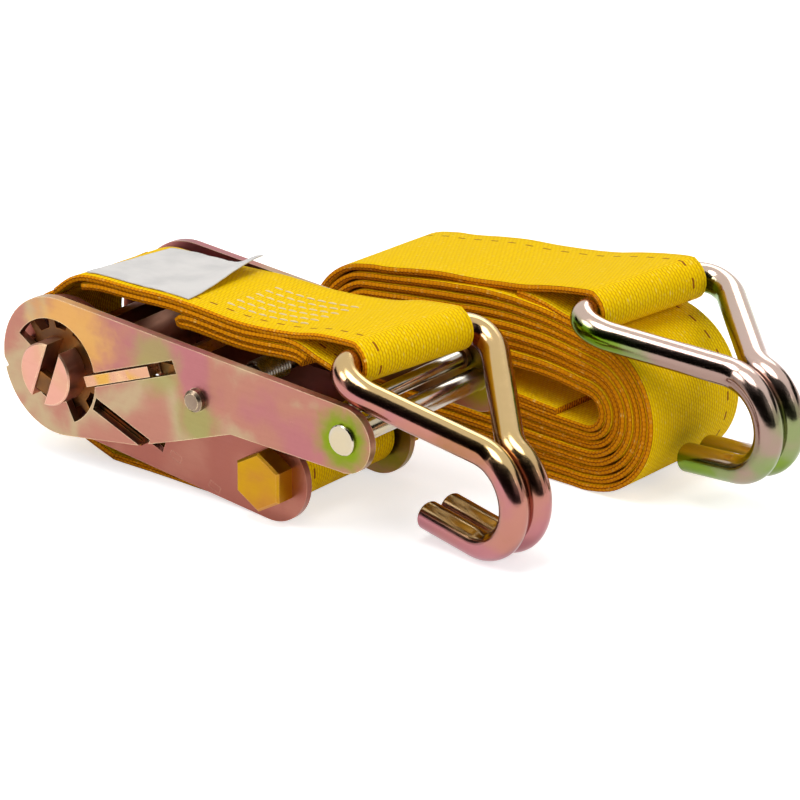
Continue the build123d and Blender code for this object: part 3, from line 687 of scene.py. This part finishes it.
def make_label():
    """A thin closed sheet whose free end curls up off the strap."""
    nu, nv = 40, 36
    grid = [[label_point(i / nu, j / nv) for j in range(nv + 1)] for i in range(nu + 1)]
    verts = [p + Vector((0, 0, side * label_thickness / 2)) for side in (1, -1) for row in grid for p in row]
    layer = (nu + 1) * (nv + 1)
    faces, uvs = [], []

    def add(*corners):
        faces.append(corners)
        uvs.extend((verts[c].x, verts[c].y) for c in corners)

    def spot(i, j, side=0):
        return side * layer + i * (nv + 1) + j

    for i in range(nu):
        for j in range(nv):
            add(spot(i, j), spot(i + 1, j), spot(i + 1, j + 1), spot(i, j + 1))
            add(spot(i, j, 1), spot(i, j + 1, 1), spot(i + 1, j + 1, 1), spot(i + 1, j, 1))
    for i in range(nu):
        add(spot(i, 0), spot(i, 0, 1), spot(i + 1, 0, 1), spot(i + 1, 0))
        add(spot(i, nv), spot(i + 1, nv), spot(i + 1, nv, 1), spot(i, nv, 1))
    for j in range(nv):
        add(spot(0, j), spot(0, j + 1), spot(0, j + 1, 1), spot(0, j, 1))
        add(spot(nu, j), spot(nu, j, 1), spot(nu, j + 1, 1), spot(nu, j + 1))
    return soft_piece("label_sheet", verts, faces, uvs, [False] * len(faces), "handle", ("label",),
                      (label_tape,))


label_piece = make_label()


# === Long strap ======================================================================================
# The roll's sizes and tables are in millimetres.
roll_floor = ground / MM
roll_y = (roll_low.y + roll_high.y) / 2 / MM
turns = 8
sections_per_turn = 46
roll_rise = 0.32  # keeps the lowest turn on the floor
roll_pitch = 3.05  # from one turn to the next
cap_left, cap_right = 64.0, 160.0  # where the turns' round ends begin
cap_radius = 29.5
roll_height = 62
straight_share, cap_share = 0.33, 0.17  # of a turn: along a long side, and round an end
left_share, bottom_share = 0.5, 0.83  # of a turn: where its left end and its bottom are done
far_fall = 2.5  # degrees that the roll's top slopes down towards its far side
top_shape = ((64, 26.2), (80, 28.6), (95, 30.2), (112, 31.2), (126, 30.9), (140, 29.5), (150, 27.8), (160, 25.8))
# How much thicker than the pitch the layers lie, from place to place.
squeeze_shape = ((64, 1.08), (100, 1.2), (124, 1.12), (145, 1.05), (166, 1.02))
half_web = web_thickness / MM / 2


def between(table, x):
    """A value read off a short table of (place, value), straight from entry to entry."""
    if x <= table[0][0]:
        return table[0][1]
    for (x0, y0), (x1, y1) in zip(table, table[1:]):
        if x <= x1:
            return y0 + (y1 - y0) * (x - x0) / (x1 - x0)
    return table[-1][1]


def racetrack(turn):
    """(x, z) in millimetres on the near edge, that many turns in, from the top right and first going left."""
    share = turn % 1.0
    run = min(share / straight_share, 1.0)
    depth = roll_pitch * (int(turn) - 1 + run * run * (3 - 2 * run))

    def half(x):
        return (between(top_shape, x) - roll_floor) / 2

    def room(x):
        return half(x) - half_web - depth * between(squeeze_shape, x)

    if share < straight_share:
        x = cap_right + (cap_left - cap_right) * run
        return x, roll_floor + half(x) + room(x)
    if left_share <= share < bottom_share:
        x = cap_left + (cap_right - cap_left) * (share - left_share) / straight_share
        return x, roll_floor + half(x) - room(x)
    if share < left_share:
        angle, x = pi / 2 + pi * (share - straight_share) / cap_share, cap_left
    else:
        angle, x = -pi / 2 + pi * (share - bottom_share) / cap_share, cap_right
    return x + (cap_radius - half_web - depth) * cos(angle), roll_floor + half(x) + room(x) * sin(angle)


def leaning(x, z, y=0.0, yaw=0.0, share=1.0):
    """A cross-section whose near edge is at that height; the higher it is, the more its far edge falls."""
    tilt = share * far_fall * min(max((z - roll_floor) / roll_height, 0.0), 1.0)
    return in_plan(x, z - web_width / MM / 2 * sin(radians(tilt)), yaw, roll_y + y, tilt)


def roll_points():
    """The whole long strap: sewn end, loop over the hook's bar, the roll's turns and the inner end."""
    shift = bar_b.y / MM - roll_y
    placed = [leaning(130.0, 31.1, shift + 3.0, -5, 0.8), leaning(135.0, 30.9, shift + 2.8, -5, 0.6),
              leaning(143.0, 29.9, shift + 2.4, -6, 0.4), leaning(153.0, 28.2, shift + 1.4, -8, 0.1)]
    placed += around_bar(bar_b, hook_yaw, range(-90, 91, 20))
    placed += [leaning(153.0, 38.2, shift + 1.4, -8, 0.1), leaning(142.0, 36.0, shift + 2.4, -6, 0.4),
               leaning(133.0, 34.0, shift + 2.8, -5, 0.6), leaning(122.0, 32.5, shift + 3.2, -3, 0.9),
               leaning(108.0, 31.0, 1.6), leaning(95.0, 30.2, 0.8), leaning(84.0, 28.7, 0.3)]
    first, last = 0.29, turns + 0.27
    count = sections_per_turn * turns
    for i in range(count + 1):
        turn = first + (last - first) * i / count
        x, z = racetrack(turn)
        loose = 0.25 * noise.noise(Vector((turn * 2.3, 4.0, 0.0)))
        slip = 0.9 * noise.noise(Vector((turn * 0.9, 9.0, 0.0)))
        placed.append(leaning(x, z + loose + roll_rise, slip))
    inner_end = ((74, -1.9), (70.6, -3.3), (74, -4.8), (82, -5.0), (100, -4.1), (112, -5.0), (130, -6.5), (147, -7.7))
    return placed + [leaning(x, z) for x, z in inner_end]


long_step = 2.4 * MM  # the roll takes fewer cross-sections than the short strap
long_strap = Strip(through(roll_points(), long_step))
long_piece = ribbon("long_strap_webbing", long_strap, "long_strap", ("long_strap_roll", "long_strap_loop"),
                    wave=0.12 * MM, seed=21.0, flip=-1)


# === Studio ==========================================================================================
def seen_rays(tree):
    """1 for what the camera sees, also in metal and through glass, and 0 for light that falls on the object."""
    rays = tree.nodes.new("ShaderNodeLightPath").outputs
    seen = rays["Is Camera Ray"]
    for kind in ("Is Glossy Ray", "Is Transmission Ray"):
        either = tree.nodes.new("ShaderNodeMath")
        either.operation = "MAXIMUM"
        tree.links.new(seen, either.inputs[0])
        tree.links.new(rays[kind], either.inputs[1])
        seen = either.outputs[0]
    return seen


def studio_material(name, colour, camera_lift):
    """Matte paper that shows near white to the camera, in metal and through glass, and keeps its shadows."""
    s = Shader(name, 0.9)
    s.surface.inputs["Base Color"].default_value = colour
    s.surface.inputs["Emission Color"].default_value = (1, 1, 1, 1)
    s.link(s.calc("MULTIPLY", seen_rays(s.tree), camera_lift), "Emission Strength")
    return s.material


def panel(name, corners, material):
    """One flat face that is part of the studio, not of the object."""
    mesh = bpy.data.meshes.new(name)
    mesh.from_pydata(corners, [], [tuple(range(len(corners)))])
    mesh.materials.append(material)
    piece = bpy.data.objects.new(name, mesh)
    bpy.context.scene.collection.objects.link(piece)
    return piece


floor_reach = 6.0
panel("floor", [(x * floor_reach, y * floor_reach, ground) for x, y in ((-1, -1), (1, -1), (1, 1), (-1, 1))],
      studio_material("floor_paper", tint(236, 236, 236), 0.6))

# The point in the middle of the photo, which the camera and the lamps look at.
look_at = Vector((116.1, 12.5, 3.6)) * MM


def towards(azimuth, elevation):
    """The way from the object to a lamp or camera: azimuth 0 is in front of it, and 90 is at its grip's end."""
    turn, rise = radians(azimuth), radians(elevation)
    return Vector((sin(turn) * cos(rise), -cos(turn) * cos(rise), sin(rise)))


def aim(holder, azimuth, elevation, distance):
    """Put a lamp or camera that far away, looking at the object, and add it to the scene."""
    direction = towards(azimuth, elevation)
    holder.location = look_at + direction * distance
    holder.rotation_euler = direction.to_track_quat("Z", "Y").to_euler()
    bpy.context.scene.collection.objects.link(holder)


def dark_flag(azimuth, distance, width, low, high):
    """A black card that only metal sees, so that rods and hooks get a dark streak."""
    out, side = towards(azimuth, 0), towards(azimuth + 90, 0)
    s = Shader(f"flag_{azimuth}", 1.0)
    s.surface.inputs["Base Color"].default_value = (0.004, 0.003, 0.002, 1)
    s.surface.inputs["Specular IOR Level"].default_value = 0.0
    corners = [out * distance + side * (a * width / 2) + Vector((0, 0, z)) for a, z in
               ((-1, low), (1, low), (1, high), (-1, high))]
    card = panel(f"flag_{azimuth}", corners, s.material)
    card.visible_camera = False
    card.visible_diffuse = False
    card.visible_shadow = False
    card.visible_transmission = False


dark_flag(40, 0.7, 2.2, -0.03, 1.6)
dark_flag(-60, 1.3, 1.2, 0.2, 0.7)
dark_flag(150, 1.3, 1.4, 0.2, 0.7)


def area_light(name, azimuth, elevation, distance, size, power):
    """A soft white round lamp."""
    lamp = bpy.data.lights.new(name, "AREA")
    lamp.shape = "DISK"
    lamp.size = size
    lamp.energy = power
    aim(bpy.data.objects.new(name, lamp), azimuth, elevation, distance)


area_light("overhead", 10, 76, 1.5, 0.9, 11)
area_light("key", -35, 42, 1.6, 0.7, 6)
area_light("right", 85, 30, 1.5, 0.7, 5)
area_light("back", 200, 40, 1.6, 0.8, 4)

# White wherever it is seen, and a soft grey where it lights the object.
world = bpy.data.worlds.new("studio")
world.use_nodes = True
bpy.context.scene.world = world
world_tree = world.node_tree
background = world_tree.nodes["Background"]
background.inputs["Color"].default_value = (1, 1, 1, 1)
level = world_tree.nodes.new("ShaderNodeMapRange")
level.inputs["To Min"].default_value = 0.36
level.inputs["To Max"].default_value = 1.0
world_tree.links.new(seen_rays(world_tree), level.inputs["Value"])
world_tree.links.new(level.outputs[0], background.inputs["Strength"])

lens = bpy.data.cameras.new("camera")
lens.sensor_width = 36.0
lens.lens = 275.9
lens.clip_end = 50.0
camera = bpy.data.objects.new("camera", lens)
aim(camera, 39.745, 22.193, 2.114)
bpy.context.scene.camera = camera
bpy.context.scene.view_settings.view_transform = "Standard"
